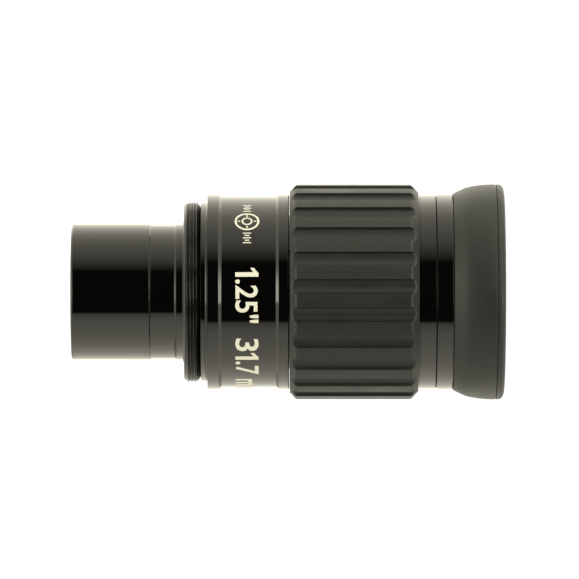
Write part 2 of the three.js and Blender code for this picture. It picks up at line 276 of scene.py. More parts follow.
def blend_colour(nt, fac, c1, c2):
    n = nt.nodes.new("ShaderNodeMix")
    n.data_type = "RGBA"
    n.inputs[6].default_value = (*c1, 1)
    n.inputs[7].default_value = (*c2, 1)
    nt.links.new(fac, n.inputs[0])
    return n.outputs[2]


def bump(nt, height, strength, distance, previous=None):
    n = nt.nodes.new("ShaderNodeBump")
    n.inputs["Strength"].default_value = strength
    n.inputs["Distance"].default_value = distance
    nt.links.new(height, n.inputs["Height"])
    if previous is not None:
        nt.links.new(previous, n.inputs["Normal"])
    return n.outputs["Normal"]


def lacquer(name, c1, c2, r_lo, r_hi, ior=1.55, metallic=0.0, lines=0.012, peel=0.03, coat=0.0):
    """Turned metal under gloss black: fine rings left by the lathe, a faint
    ripple of the finish, and roughness that varies with handling."""
    m, nt, b = new_material(name)
    b.inputs["IOR"].default_value = ior
    b.inputs["Metallic"].default_value = metallic
    b.inputs["Coat Weight"].default_value = coat
    b.inputs["Coat Roughness"].default_value = 0.03
    cloud = noise(nt, coords(nt, (220, 220, 300)), 1.0, 4.0)
    nt.links.new(blend_colour(nt, spread(nt, cloud, 0, 1), c1, c2), b.inputs["Base Color"])
    haze = noise(nt, coords(nt, (90, 90, 140)), 1.0, 5.0, 0.6)
    nt.links.new(spread(nt, haze, r_lo, r_hi), b.inputs["Roughness"])
    turned = noise(nt, coords(nt, (60, 60, 7000)), 1.0, 3.0, 0.6)
    ripple = noise(nt, coords(nt, (900, 900, 900)), 1.0, 1.0)
    n1 = bump(nt, ripple, peel, 1e-5)
    nt.links.new(bump(nt, turned, lines, 1e-5, n1), b.inputs["Normal"])
    return m


def satin(name, c1, c2, r_lo, r_hi, ior=1.5, metallic=0.0, grain=0.15, fine=5000.0):
    """Satin or matt black metal with a fine blasted grain."""
    m, nt, b = new_material(name)
    b.inputs["IOR"].default_value = ior
    b.inputs["Metallic"].default_value = metallic
    cloud = noise(nt, coords(nt, (500, 500, 500)), 1.0, 4.0)
    nt.links.new(blend_colour(nt, spread(nt, cloud, 0, 1), c1, c2), b.inputs["Base Color"])
    worn = noise(nt, coords(nt, (1500, 1500, 1500)), 1.0, 3.0)
    nt.links.new(spread(nt, worn, r_lo, r_hi), b.inputs["Roughness"])
    g = noise(nt, coords(nt, (fine, fine, fine)), 1.0, 2.0)
    nt.links.new(bump(nt, g, grain, 2e-5), b.inputs["Normal"])
    return m


def rubber(name, c1, c2, r_lo, r_hi, spec=0.5, grain=0.25, fine=5200.0, dust=0.0):
    """Moulded rubber: fine pebbled grain from the tool, soft mottling, and a
    thin dusty bloom that shows on the edges."""
    m, nt, b = new_material(name)
    b.inputs["IOR"].default_value = 1.48
    b.inputs["Specular IOR Level"].default_value = spec
    b.inputs["Sheen Weight"].default_value = dust
    b.inputs["Sheen Roughness"].default_value = 0.6
    b.inputs["Sheen Tint"].default_value = (0.75, 0.76, 0.66, 1)
    broad = noise(nt, coords(nt, (160, 160, 160)), 1.0, 5.0, 0.6)
    speck = noise(nt, coords(nt, (2600, 2600, 2600)), 1.0, 3.0, 0.6)
    mix = nt.nodes.new("ShaderNodeMix")
    mix.inputs[0].default_value = 0.45
    nt.links.new(broad, mix.inputs[2])
    nt.links.new(speck, mix.inputs[3])
    nt.links.new(blend_colour(nt, spread(nt, mix.outputs[0], 0, 1, 0.32, 0.68), c1, c2), b.inputs["Base Color"])
    nt.links.new(spread(nt, broad, r_lo, r_hi), b.inputs["Roughness"])
    pebble = nt.nodes.new("ShaderNodeTexVoronoi")
    pebble.inputs["Scale"].default_value = 1.0
    pebble.feature = "SMOOTH_F1"
    nt.links.new(coords(nt, (fine, fine, fine)), pebble.inputs["Vector"])
    n1 = bump(nt, pebble.outputs["Distance"], grain, 2e-5)
    nt.links.new(bump(nt, speck, grain * 0.6, 2e-5, n1), b.inputs["Normal"])
    return m


def glass(name, tint, film, ior=1.52):
    """Optical glass with a thin coating of fixed thickness, and faint wipe marks that vary its roughness and tint
    slightly.
    """
    m, nt, b = new_material(name)
    b.inputs["Transmission Weight"].default_value = 1.0
    b.inputs["IOR"].default_value = ior
    b.inputs["Thin Film Thickness"].default_value = film
    b.inputs["Thin Film IOR"].default_value = 1.38
    wipe = noise(nt, coords(nt, (130, 130, 130)), 1.0, 5.0, 0.7)
    nt.links.new(spread(nt, wipe, 0.0, 0.012), b.inputs["Roughness"])
    nt.links.new(blend_colour(nt, wipe, tint, tuple(min(1.0, c * 1.03) for c in tint)), b.inputs["Base Color"])
    return m


def metal(name, c1, c2, r_lo, r_hi):
    m, nt, b = new_material(name)
    b.inputs["Metallic"].default_value = 1.0
    cloud = noise(nt, coords(nt, (900, 900, 900)), 1.0, 4.0)
    nt.links.new(blend_colour(nt, spread(nt, cloud, 0, 1), c1, c2), b.inputs["Base Color"])
    nt.links.new(spread(nt, noise(nt, coords(nt, (3000, 3000, 3000)), 1.0, 2.0), r_lo, r_hi), b.inputs["Roughness"])
    nt.links.new(bump(nt, noise(nt, coords(nt, (6000, 6000, 6000)), 1.0, 2.0), 0.08, 1e-5), b.inputs["Normal"])
    return m


def felt(name, c1, c2):
    m, nt, b = new_material(name)
    b.inputs["Sheen Weight"].default_value = 0.05
    b.inputs["Specular IOR Level"].default_value = 0.25
    b.inputs["Roughness"].default_value = 0.95
    fibre = noise(nt, coords(nt, (6000, 6000, 2500)), 1.0, 5.0, 0.7)
    nt.links.new(blend_colour(nt, spread(nt, fibre, 0, 1), c1, c2), b.inputs["Base Color"])
    nt.links.new(bump(nt, fibre, 0.6, 4e-5), b.inputs["Normal"])
    return m


def ink(name, c1, c2):
    """Opaque pad-printed ink with a slightly uneven laydown."""
    m, nt, b = new_material(name)
    b.inputs["IOR"].default_value = 1.45
    lay = noise(nt, coords(nt, (2200, 2200, 2200)), 1.0, 4.0, 0.6)
    nt.links.new(blend_colour(nt, spread(nt, lay, 0, 1), c1, c2), b.inputs["Base Color"])
    nt.links.new(spread(nt, lay, 0.42, 0.58), b.inputs["Roughness"])
    nt.links.new(bump(nt, lay, 0.12, 1e-5), b.inputs["Normal"])
    return m


M = {
    "chrome": lacquer("black_chrome", (0.0003, 0.0003, 0.0002), (0.0006, 0.0006, 0.0004), 0.045, 0.075),
    "gloss": lacquer("gloss_black", (0.0003, 0.0003, 0.0002), (0.0006, 0.0006, 0.0004), 0.045, 0.085),
    "thread": satin("thread_black", (0.003, 0.003, 0.0027), (0.006, 0.006, 0.0052), 0.26, 0.36, 1.55, 0.0, 0.05),
    "inner": satin("inner_black", (0.004, 0.004, 0.0038), (0.008, 0.008, 0.0075), 0.5, 0.66, 1.45),
    "grip": rubber("grip_rubber", (0.0034, 0.0040, 0.0036), (0.0060, 0.0070, 0.0062), 0.46, 0.56, 0.5, 0.20, 5200, 0.0),
    "cup": rubber("cup_rubber", (0.0050, 0.0058, 0.0052), (0.0080, 0.0092, 0.0082), 0.48, 0.58, 0.5, 0.16, 6200, 0.0),
    "glass_front": glass("coated_glass_front", (0.94, 0.985, 0.955), 420.0),
    "glass_mid": glass("coated_glass_middle", (0.96, 0.985, 0.96), 480.0, 1.6),
    "glass_eye": glass("coated_glass_eye", (0.95, 0.985, 0.96), 390.0),
    "steel": metal("steel_pin", (0.50, 0.50, 0.49), (0.60, 0.60, 0.58), 0.22, 0.36),
    "bronze": metal("washer_bronze", (0.010, 0.008, 0.006), (0.016, 0.013, 0.009), 0.42, 0.56),
    "felt": felt("seal_felt", (0.004, 0.004, 0.004), (0.010, 0.010, 0.010)),
    "ink": ink("print_ink", (0.63, 0.62, 0.535), (0.69, 0.68, 0.59)),
}
COUNT = {}


def piece(ob, body, finish, *nodes):
    """Gives a piece its finish and its body, and hides the CAD nodes it stands in for."""
    ob.data.materials.clear()
    ob.data.materials.append(M[finish])
    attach(ob, body)
    if nodes:
        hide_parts(*nodes)
    COUNT[ob.name] = len(ob.data.polygons)
    return ob


# ============================================================ threads (heights)
def tooth(u):
    """A 60-degree thread form with small flats, 0 at the root, 1 at the crest."""
    u = u % 1.0
    t = np.abs(u - 0.5) * 2.0            # 1 at the root, 0 at the crest
    return np.clip((0.90 - t) / 0.76, 0.0, 1.0)


# =================================================================== the barrel
BORE_Z1 = 5.6
nose_section = (
    rounded([
        (14.15 + 0.30, 0.0, 0.08), (15.875 - 0.42, 0.0, 0.18), (15.875, 0.42, 0.30),
        (15.875, 18.16, 0.20), (15.65, 18.40, 0.15), (15.65, 23.95, 0.18), (15.84, 24.42, 0.20),
        (15.84, 26.9, 0.04), (14.9, 26.9, 0.05), (14.9, 31.4, 0.1), (13.0, 31.4, 0.1),
        (13.0, 19.0, 0.05), (13.8, 19.0, 0.05), (13.8, BORE_Z1, 0.1), (14.40, BORE_Z1, 0.1),
        (14.40, 5.05, 0.0), (14.40, 4.9, 0.0),
    ])
)
# The filter thread is cut as a helix down the mouth of the barrel.
mouth = [(14.40, z) for z in np.arange(4.85, 0.34, -0.05)]
nose_section += mouth


def filter_thread(phi, r, z):
    inside = (r > 14.3) & (r < 14.5) & (z > 0.3) & (z < 5.0)
    fade = np.clip((4.95 - z) / 0.5, 0, 1) * np.clip((z - 0.25) / 0.35, 0, 1)
    h = 0.36 * tooth(z / 0.6 - phi / TAU) * fade
    return np.where(inside, r - h, r), z


piece(lathe("nosepiece_fine", nose_section, 240, warp=filter_thread), "housing", "chrome", "nosepiece")

cell = rounded([
    (12.2, 6.3, 0.1), (13.65, 6.3, 0.15), (13.65, 18.9, 0.1), (11.4, 18.9, 0.1), (10.8, 15.9, 0.15), (12.2, 15.9, 0.05),
])
piece(lathe("lower_lens_cell_fine", cell, 144), "housing", "inner", "lower_lens_cell")
piece(lens("field_lens_front_fine", 12.0, (9.8, 60, -1), (10.9, 30, -1)), "housing", "glass_front", "field_lens_front")
piece(lens("field_lens_rear_fine", 12.0, (10.96, 30, 1), (16.5, 70, 1)), "housing", "glass_mid", "field_lens_rear")

# Retaining ring with two spanner slots.
ring = lathe("lower_retaining_ring_fine", rounded([
    (10.9, 7.1, 0.08), (11.5, 6.6, 0.08), (12.08, 6.6, 0.05), (12.08, 8.5, 0.05), (10.9, 8.5, 0.08)]), 144)
boolean(ring, "DIFFERENCE", [make(f"slot_{a}", *block(a, 10.4, 12.6, 1.1, 6.2, 7.5)) for a in (45, 225)])
piece(ring, "housing", "inner", "lower_retaining_ring")

# =================================================================== the collar
PITCH, T0, T1, CREST, ROOT = 0.75, 26.98, 30.1, 21.0, 20.5
collar_lower = rounded([
    (15.0, 34.0, 0.1), (15.0, 26.9, 0.05), (15.95, 26.9, 0.03), (15.95, 25.92, 0.03), (16.12, 25.86, 0.08), (16.5, 26.2, 0.12), (20.2, 26.2, 0.14),
    (20.55, 26.55, 0.05), (20.62, 26.9, 0.0),
])
collar_thread = [(20.62, z) for z in np.arange(26.95, 29.96, 0.05)]
collar_upper = rounded([(19.78, 29.97, 0.0), (19.64, 30.08, 0.0), (17.5, 30.08, 0.05), (17.5, 34.0, 0.1), (15.0, 34.0, 0.1)])[1:-1]


def camera_thread(phi, r, z):
    inside = (r > 20.6) & (r < 20.64) & (z > 26.93)
    lead_in = np.clip(20.55 + (z - 26.55) * 1.15, 0, CREST)
    h = ROOT + (CREST - ROOT) * tooth(z / PITCH - phi / TAU + 0.28)
    runout = np.clip((29.45 - z) / 0.2, 0, 1)
    h = ROOT + (h - ROOT) * runout - 1.3 * np.clip(z - 29.42, 0, 1)      # ends in a relief groove
    return np.where(inside, np.minimum(h, lead_in), r), z


collar_section = [(20.62 if abs(r - 20.62) < 1e-9 else r, z) for r, z in collar_lower[len([0]) - 1:]]
collar_section = collar_section + collar_thread + collar_upper
piece(lathe("thread_collar_fine", collar_section, 288, warp=camera_thread, sharp=50), "housing", "thread", "thread_collar")

# ================================================================== the housing
housing = lathe("main_housing_fine", rounded([
    (17.6, 30.1, 0.05), (20.86, 30.1, 0.03), (20.86, 31.6, 0.62), (22.75, 31.6, 0.09),
    (22.75, 34.2, 0.10), (22.3, 34.9, 0.10), (22.3, 47.45, 0.10), (22.75, 48.1, 0.10),
    (22.75, 50.3, 0.07), (18.2, 50.3, 0.05), (18.2, 55.0, 0.1), (16.2, 55.0, 0.1),
    (16.2, 34.6, 0.1), (17.6, 34.6, 0.05)]), 240)
boolean(housing, "DIFFERENCE", [make(f"hole_{a}", *bar(a, 51.45, 1.25, 15.6, 18.9)) for a in SCREW_ANGLES])
piece(housing, "housing", "gloss", "main_housing")

for i, a in enumerate(SCREW_ANGLES):
    screw = make(f"housing_grub_screw_{i + 1}_fine", *bar(a, 51.45, 0.95, 16.1, 18.1, 32, 0.12))
    boolean(screw, "DIFFERENCE", [make("hex", *bar(a, 51.45, 0.5, 17.2, 18.9, 6))])
    piece(screw, "housing", "steel", f"housing_grub_screw_{i + 1}")

baffle = rounded([
    (15.0, 35.0, 0.05), (16.1, 35.0, 0.08), (16.1, 38.0, 0.08), (15.0, 38.0, 0.05), (15.0, 36.9, 0.1),
    (8.0, 36.9, 0.04), (8.0, 36.4, 0.04), (15.0, 35.8, 0.1)])
piece(lathe("baffle_ring_fine", baffle, 144), "housing", "inner", "baffle_ring")
washer = rounded([(18.35, 50.3, 0.03), (22.5, 50.3, 0.03), (22.5, 50.5, 0.03), (18.35, 50.5, 0.03)])
piece(lathe("slip_washer_fine", washer, 144), "housing", "bronze", "slip_washer")
lock = lathe("lock_ring_fine", rounded([
    (18.3, 52.45, 0.08), (19.3, 52.45, 0.08), (19.3, 54.4, 0.08), (19.1, 54.6, 0.05), (18.3, 54.6, 0.08)]), 144)
boolean(lock, "DIFFERENCE", [make(f"slot_{a}", *block(a, 17.8, 19.8, 1.4, 53.8, 55.2)) for a in (20, 200)])
piece(lock, "housing", "inner", "lock_ring")

tube = lathe("inner_tube_fine", rounded([
    (15.2, 40.0, 0.1), (16.0, 40.0, 0.1), (16.0, 55.0, 0.05), (17.6, 55.0, 0.15), (17.6, 92.1, 0.1),
    (17.2, 92.5, 0.1), (13.9, 92.5, 0.1), (13.7, 92.3, 0.05), (13.7, 80.5, 0.05), (12.9, 80.5, 0.08),
    (12.9, 69.3, 0.08), (15.2, 69.3, 0.05)]), 192)
boolean(tube, "DIFFERENCE", [make(f"hole_{a}", *bar(a, PIN_Z, PIN_R + 0.25, 14.1, 18.6)) for a in PIN_ANGLES])
piece(tube, "housing", "inner", "inner_tube")
for i, a in enumerate(PIN_ANGLES):
    pin = make(f"guide_pin_{i + 1}_fine", *bar(a, PIN_Z, PIN_R, 14.3, 19.1, 48, 0.15))
    piece(pin, "housing", "steel", f"guide_pin_{i + 1}")

stop = rounded([
    (13.5, 45.0, 0.1), (15.1, 45.0, 0.08), (15.1, 47.0, 0.08), (6.5, 47.0, 0.05), (5.2, 46.5, 0.02), (6.5, 46.0, 0.05), (13.5, 46.0, 0.1)])
piece(lathe("field_stop_fine", stop, 144), "housing", "inner", "field_stop")
keep = lathe("group_retaining_ring_fine", rounded([
    (13.6, 53.0, 0.08), (15.1, 53.0, 0.08), (15.1, 55.1, 0.08), (13.6, 55.1, 0.08)]), 144)
boolean(keep, "DIFFERENCE", [make(f"slot_{a}", *block(a, 13.2, 15.6, 1.2, 52.6, 53.7)) for a in (70, 250)])
piece(keep, "housing", "inner", "group_retaining_ring")
piece(lens("meniscus_lens_fine", 15.0, (57.8, 45, -1), (62.0, 32, 1)), "housing", "glass_mid", "meniscus_lens")
spacer = rounded([(13.9, 59.1, 0.05), (15.1, 58.5, 0.05), (15.1, 63.1, 0.05), (13.9, 62.9, 0.05)])
piece(lathe("lens_spacer_fine", spacer, 144), "housing", "inner", "lens_spacer")
piece(lens("doublet_lens_lower_fine", 15.0, (62.3, 120, 1), (63.6, 28, -1)), "housing", "glass_mid", "doublet_lens_lower")
piece(lens("doublet_lens_upper_fine", 15.0, (63.66, 28, 1), (70.6, 60, 1)), "housing", "glass_mid", "doublet_lens_upper")
piece(lens("eye_lens_inner_fine", 13.5, (81.7, 90, -1), (83.0, 26, -1)), "housing", "glass_mid", "eye_lens_inner")
piece(lens("eye_lens_outer_fine", 13.5, (83.06, 26, 1), (91.1, 60, 1)), "housing", "glass_eye", "eye_lens_outer")
eye_ring = lathe("eye_retaining_ring_fine", rounded([
    (12.3, 90.0, 0.05), (13.55, 90.0, 0.05), (13.55, 92.3, 0.06), (13.1, 92.3, 0.08), (12.3, 91.0, 0.08)]), 168)
boolean(eye_ring, "DIFFERENCE", [make(f"slot_{a}", *block(a, 12.9, 14.0, 1.0, 91.9, 92.8)) for a in (0, 180)])
piece(eye_ring, "housing", "inner", "eye_retaining_ring")


# ============================================================== the printed skin
def flat_shape(text, height, width, weight):
    """The outline of a short text as a flat triangle mesh, fitted to a height
    and a width in millimetres. Returns (points, triangles)."""
    cu = bpy.data.curves.new("t", "FONT")
    cu.body = text
    cu.size = 1.0
    cu.resolution_u = 6
    cu.offset = weight
    ob = bpy.data.objects.new("t", cu)
    bpy.context.scene.collection.objects.link(ob)
    bpy.context.view_layer.update()
    dg = bpy.context.evaluated_depsgraph_get()
    me = bpy.data.meshes.new_from_object(ob.evaluated_get(dg))
    bpy.data.objects.remove(ob)
    bm = bmesh.new()
    bm.from_mesh(me)
    bmesh.ops.remove_doubles(bm, verts=bm.verts, dist=1e-5)
    co = np.array([v.co[:2] for v in bm.verts])
    lo, hi = co.min(0), co.max(0)
    for v in bm.verts:
        v.co.x = (v.co.x - lo[0]) / (hi[0] - lo[0]) * width
        v.co.y = (v.co.y - lo[1]) / (hi[1] - lo[1]) * height
    return bm


def add_polygon(bm, outer, inner=None):
    """A flat ring between two loops of the same number of points."""
    a = [bm.verts.new((x, y, 0)) for x, y in outer]
    if inner is None:
        bm.faces.new(a)
        return
    b = [bm.verts.new((x, y, 0)) for x, y in inner]
    for k in range(len(a)):
        j = (k + 1) % len(a)
        bm.faces.new((a[k], a[j], b[j], b[k]))


def circle(cx, cy, r, n=64):
    return [(cx + r * math.cos(TAU * k / n), cy + r * math.sin(TAU * k / n)) for k in range(n)]


def reticle():
    """Two rings and short ticks, with a graduated line to each side."""
    bm = bmesh.new()
    cx, cy = 6.4, 2.85
    add_polygon(bm, circle(cx, cy, 2.85), circle(cx, cy, 2.40))
    add_polygon(bm, circle(cx, cy, 1.25), circle(cx, cy, 0.90))
    for k in range(4):
        c, s = round(math.cos(k * math.pi / 2)), round(math.sin(k * math.pi / 2))
        pts = [(1.55, -0.16), (2.15, -0.16), (2.15, 0.16), (1.55, 0.16)]
        add_polygon(bm, [(cx + c * x - s * y, cy + s * x + c * y) for x, y in pts])
    for side in (-1, 1):
        for k in range(5):
            x = cx + side * (3.75 + 0.66 * k)
            h = 1.9 if k % 2 == 0 else 1.1
            add_polygon(bm, [(x - 0.14, cy - h / 2), (x + 0.14, cy - h / 2), (x + 0.14, cy + h / 2), (x - 0.14, cy + h / 2)])
    return bm


def wrap(bm, alpha0, z0, r_in, r_out):
    """Cuts a flat shape into narrow strips, wraps it round the body from angle
    alpha0, and gives it thickness. Returns closed (verts, faces)."""
    xs = [v.co.x for v in bm.verts]
    x = math.floor(min(xs)) + 0.4
    while x < max(xs):
        geom = bm.verts[:] + bm.edges[:] + bm.faces[:]
        bmesh.ops.bisect_plane(bm, geom=geom, plane_co=(x, 0, 0), plane_no=(1, 0, 0), dist=1e-6)
        x += 0.4
    bmesh.ops.remove_doubles(bm, verts=bm.verts, dist=1e-4)
    bmesh.ops.dissolve_degenerate(bm, edges=bm.edges, dist=1e-4)
    bmesh.ops.triangulate(bm, faces=bm.faces)
    bm.verts.index_update()
    pts = [(v.co.x, v.co.y) for v in bm.verts]
    tris = []
    for f in bm.faces:
        idx = [v.index for v in f.verts]
        (ax, ay), (bx, by), (cx, cy) = (pts[i] for i in idx)
        area = (bx - ax) * (cy - ay) - (cx - ax) * (by - ay)
        tris.append(tuple(idx) if area > 0 else tuple(reversed(idx)))
    bm.free()
    n = len(pts)
    verts = []
    for r in (r_in, r_out):
        for s, t in pts:
            phi = rad(-90 - alpha0) + s / r_out
            verts.append((r * math.cos(phi), r * math.sin(phi), z0 + t))
    faces = [tuple(i + n for i in f) for f in tris] + [tuple(reversed(f)) for f in tris]
    edges = {}
    for f in tris:
        for k in range(3):
            e = (f[k], f[(k + 1) % 3])
            edges[e] = edges.get(e, 0) + 1
    for a, b in edges:
        if (b, a) not in edges:
            faces.append((a, b, b + n, a + n))
    return verts, faces


def numeral_one(h):
    """A plain figure one with a short flag."""
    bm = bmesh.new()
    p = [bm.verts.new((x, y, 0)) for x, y in (
        (1.05, 0), (2.10, 0), (2.10, 0.78 * h), (1.05, 0.78 * h), (2.10, h), (1.30, h), (0, 0.80 * h), (0, 0.64 * h))]
    for q in ((0, 1, 2, 3), (3, 2, 4, 5), (7, 3, 5, 6)):
        bm.faces.new([p[i] for i in q])
    return bm


def along(alpha, s):
    """The angle of a point s millimetres further round the band."""
    return alpha - math.degrees(s / (BAND_R + 0.022))


marks = [
    wrap(reticle(), 63.4, 37.95, BAND_R - 0.02, BAND_R + 0.022),
    wrap(numeral_one(5.35), 14.4, 38.12, BAND_R - 0.02, BAND_R + 0.022),
    wrap(flat_shape('.25"', 5.35, 10.2, 0.016), along(14.4, 2.7), 38.12, BAND_R - 0.02, BAND_R + 0.022),
    wrap(flat_shape("3", 5.35, 3.5, 0.014), -28.7, 38.12, BAND_R - 0.02, BAND_R + 0.022),
    wrap(numeral_one(5.35), along(-28.7, 4.05), 38.12, BAND_R - 0.02, BAND_R + 0.022),
    wrap(flat_shape(".7", 5.35, 4.9, 0.014), along(-28.7, 6.7), 38.12, BAND_R - 0.02, BAND_R + 0.022),
    wrap(flat_shape("mm", 3.9, 9.0, 0.014), -64.5, 38.12, BAND_R - 0.02, BAND_R + 0.022),
]
mv, mf = [], []
for v, f in marks:
    mf += [tuple(i + len(mv) for i in g) for g in f]
    mv += v
piece(make("print_marks", mv, mf, sharp=30), "housing", "ink")

# ================================================================ the grip ring
grip_ring = lathe("grip_ring_fine", rounded([
    (18.45, 50.6, 0.06), (22.5, 50.6, 0.05), (22.5, 50.8, 0.05), (22.2, 50.8, 0.0), (22.2, 80.70, 0.0),
    (22.65, 80.70, 0.10), (22.65, 84.45, 0.05), (20.9, 84.45, 0.05), (20.9, 83.2, 0.05),
    (19.5, 83.2, 0.08), (19.5, 52.3, 0.08), (18.45, 52.3, 0.06)]), 240)
boolean(grip_ring, "DIFFERENCE",
        [make(f"way_{a}", *block(a, 18.8, 20.6, 5.7, 55.2, 83.7)) for a in KEY_ANGLES]
        + [make("fit_hole", *bar(30, PIN_Z, 1.7, 18.8, 22.8))])
piece(grip_ring, "grip", "gloss", "grip_ring")
seal = rounded([(19.45, 83.25, 0.1), (20.8, 83.25, 0.1), (20.8, 84.50, 0.03), (22.3, 84.50, 0.03), (22.3, 84.62, 0.03), (19.45, 84.62, 0.06)])
piece(lathe("dust_seal_fine", seal, 168), "grip", "felt", "dust_seal")


# ================================================================ fluted rubber
def smooth_min(a, b, k):
    h = np.clip(0.5 + 0.5 * (b - a) / k, 0, 1)
    return b * (1 - h) + a * h - k * h * (1 - h)


LAND_HALF, HALF_PITCH = 3.5, 7.5       # degrees


def flute_columns():
    """Angles round one flute, in degrees from a land's centre, close together
    at the crisp edges of the hollow."""
    edge = LAND_HALF
    near = [-0.34, -0.16, -0.08, -0.03, 0.0, 0.04, 0.10, 0.17, 0.24, 0.32, 0.42, 0.54, 0.68, 0.84, 1.0, 1.25, 1.7, 2.3, 3.0, 3.7]
    side = [edge + d for d in near]
    right = [0.9, 2.0] + side
    cols = [-d for d in reversed(right)] + [0.0] + right + [HALF_PITCH]
    return np.array(sorted(cols))


def flute_radius(deg):
    """Radius round the sleeve: a flat land, then a short steep wall and a
    hollow floor."""
    d = np.abs(deg)
    u = np.clip((HALF_PITCH - d) / (HALF_PITCH - LAND_HALF), 0, 1.2)   # 0 in the hollow's middle
    depth = LAND_R - FLOOR_R
    foot = 0.15 * np.exp(-((d - LAND_HALF - 0.50) / 0.38) ** 2)      # a small gutter at the wall's foot
    floor_r = LAND_R - depth * (0.42 + 0.58 * (1 - u ** 2)) - foot
    wall_r = LAND_R + (d - LAND_HALF) * -(0.46 * depth / 0.30)
    r = -smooth_min(-floor_r, -wall_r, 0.05)
    return smooth_min(np.full_like(d, LAND_R), r, 0.08)


def rubber_sleeve():
    cols = flute_columns()
    phi = np.concatenate([rad(4.7) + k * TAU / FLUTES + np.radians(cols) for k in range(FLUTES)])
    base = np.tile(flute_radius(cols), FLUTES)
    seg = len(phi)
    z0, z1 = RUBBER_Z0, RUBBER_Z1
    zs = np.unique(np.round(np.concatenate([
        np.linspace(z0 + 0.10, z0 + 1.9, 25), np.linspace(z0 + 1.9, z1 - 2.3, 8), np.linspace(z1 - 2.3, z1 - 0.10, 30)]), 4))

    def envelope(z):
        low = 23.46 + 1.13 * np.clip(z - z0, 0, 3)
        high = 23.12 + 1.07 * np.clip(z1 - z, 0, 3)
        return float(smooth_min(np.float64(low), np.float64(high), 0.2))

    rows = [(smooth_min(base, np.full(seg, envelope(z)), 0.40), z) for z in zs]
    verts, rings = [], []

    def ring_of(r, z):
        start = len(verts)
        verts.extend(zip(r * np.cos(phi), r * np.sin(phi), np.full(seg, z)))
        rings.append(start)

    first, last = rows[0][0], rows[-1][0]
    ring_of(np.full(seg, 22.3), z0 + 0.06)
    ring_of(np.full(seg, 22.36), z0)
    ring_of(np.full(seg, 22.58), z0)
    ring_of(np.full(seg, 22.62), z0 - 0.13)
    ring_of(first - 0.20, z0 - 0.15)
    ring_of(first - 0.10, z0 - 0.11)
    for r, z in rows:
        ring_of(r, z)
    ring_of(last - 0.04, z1 - 0.035)
    ring_of(last - 0.14, z1)
    ring_of(np.full(seg, 22.36), z1)
    ring_of(np.full(seg, 22.3), z1 - 0.06)
    faces = []
    n = len(rings)
    for i in range(n):
        a, b = rings[i], rings[(i + 1) % n]
        for k in range(seg):
            j = (k + 1) % seg
            faces.append((a + k, b + k, b + j, a + j))
    return make("rubber_grip_fine", verts, faces, sharp=50)


piece(rubber_sleeve(), "grip", "grip", "rubber_grip")


# ============================================================== eyecup and sleeve
def helix_slot(angle):
    """The cutter for a helical slot with round ends."""
    r0, r1 = 17.3, 19.8
    slope = RISE / TWIST                       # mm per degree
    mid = 19.2
    lead = math.atan(RISE / (rad(TWIST) * mid))
    end = 12
    path = []
    # Outline in (arc length along the path, across it): a stadium.
    length = math.hypot(RISE, rad(TWIST) * mid)
    pts = []
    for k in range(end + 1):
        g = -math.pi / 2 + math.pi * k / end
        pts.append((length / 2 + SLOT_HALF * math.cos(g), SLOT_HALF * math.sin(g)))
    steps = 40
    for k in range(1, steps):
        pts.append((length / 2 - length * k / steps, SLOT_HALF))
    for k in range(end + 1):
        g = math.pi / 2 + math.pi * k / end
        pts.append((-length / 2 + SLOT_HALF * math.cos(g), SLOT_HALF * math.sin(g)))
    for k in range(1, steps):
        pts.append((-length / 2 + length * k / steps, -SLOT_HALF))
    for s, t in pts:
        along = s * math.cos(lead) - t * math.sin(lead)
        up = s * math.sin(lead) + t * math.cos(lead)
        path.append((rad(angle - TWIST / 2) + along / mid, PIN_Z - RISE / 2 + up))
    n = len(path)
    # A strip across the slot keeps the caps following the cylinder.
    verts, faces = [], []
    for r in (r0, r1):
        verts += [(r * math.cos(p), r * math.sin(p), z) for p, z in path]
    for k in range(n):
        j = (k + 1) % n
        faces.append((k, j, j + n, k + n))
    half = n // 2
    for base, flip in ((0, True), (n, False)):
        # pair points across the slot
        k, j = 0, n - 1
        tri = []
        while k + 1 < j:
            tri.append((k, k + 1, j))
            if k + 2 <= j - 1 + 1 and k + 1 < j - 1:
                tri.append((k + 1, j - 1, j))
            k += 1
            j -= 1
        for f in tri:
            g = tuple(i + base for i in f)
            faces.append(tuple(reversed(g)) if flip else g)
    return verts, faces


sleeve = lathe("eyecup_sleeve_fine", rounded([
    (17.9, 55.5, 0.12), (19.2, 55.5, 0.12), (19.2, 90.2, 0.08), (17.9, 90.2, 0.08)]), 192)
keys = [make(f"key_{a}", *block(a, 18.5, 20.2, 5.0, 55.6, 60.0)) for a in KEY_ANGLES]
boolean(sleeve, "UNION", keys)
boolean(sleeve, "DIFFERENCE", [make(f"slot_{a}", *helix_slot(a)) for a in PIN_ANGLES])
piece(sleeve, "eyecup", "inner", "eyecup_sleeve")

cup_ring = rounded([
    (19.3, 84.69, 0.06), (22.8, 84.69, 0.05), (22.8, 88.32, 0.06), (21.5, 88.32, 0.05), (21.5, 94.0, 0.1),
    (18.6, 94.0, 0.1), (17.95, 92.4, 0.1), (17.95, 90.3, 0.06), (19.3, 90.3, 0.03)])
piece(lathe("eyecup_ring_fine", cup_ring, 240), "eyecup", "gloss", "eyecup_ring")

